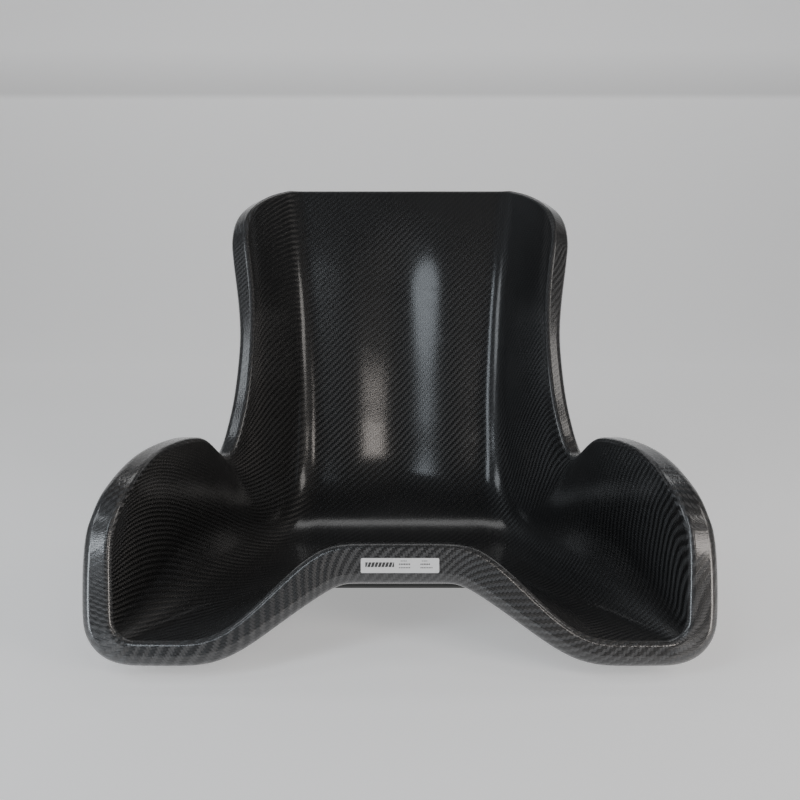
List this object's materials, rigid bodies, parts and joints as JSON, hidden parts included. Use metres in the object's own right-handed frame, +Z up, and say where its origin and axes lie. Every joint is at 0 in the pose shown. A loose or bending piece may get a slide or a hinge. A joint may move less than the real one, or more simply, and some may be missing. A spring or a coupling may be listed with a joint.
{
  "type": "kart racing seat",
  "caption": "One-piece carbon fibre kart seat with raised hip wings, pommel front, rolled lip all round and a reclined back with a spine channel.",
  "frame": {"origin": "point of the flat underside of the pan, on the middle plane, below the lowest part of the pan", "axes": "+Z up, -Y towards the front lip, +X towards image right seen from the front; the seat is mirror symmetric in X"},
  "size_m": [0.4286, 0.4845, 0.3567],
  "materials": {
    "twill_carbon": "gloss",
    "rim_carbon": "gloss",
    "back_carbon": "satin",
    "strip_carbon": "satin",
    "laminate": "matte",
    "label_film": "satin"
  },
  "bodies": {
    "root": {"seat_face_ply": "twill_carbon", "structural_laminate": "laminate", "back_face_ply": "back_carbon", "rim_wrap_front": "rim_carbon", "rim_wrap_wing_right": "rim_carbon", "rim_wrap_back_right": "rim_carbon", "rim_wrap_top": "rim_carbon", "rim_wrap_back_left": "rim_carbon", "rim_wrap_wing_left": "rim_carbon", "pan_floor_patch": "laminate", "hip_mount_patch_left": "laminate", "hip_mount_patch_right": "laminate", "front_mount_patch_left": "laminate", "front_mount_patch_right": "laminate", "bend_strip_left": "strip_carbon", "bend_strip_right": "strip_carbon", "spine_strip": "strip_carbon", "lip_label": "label_film"}
  },
  "joints": []
}
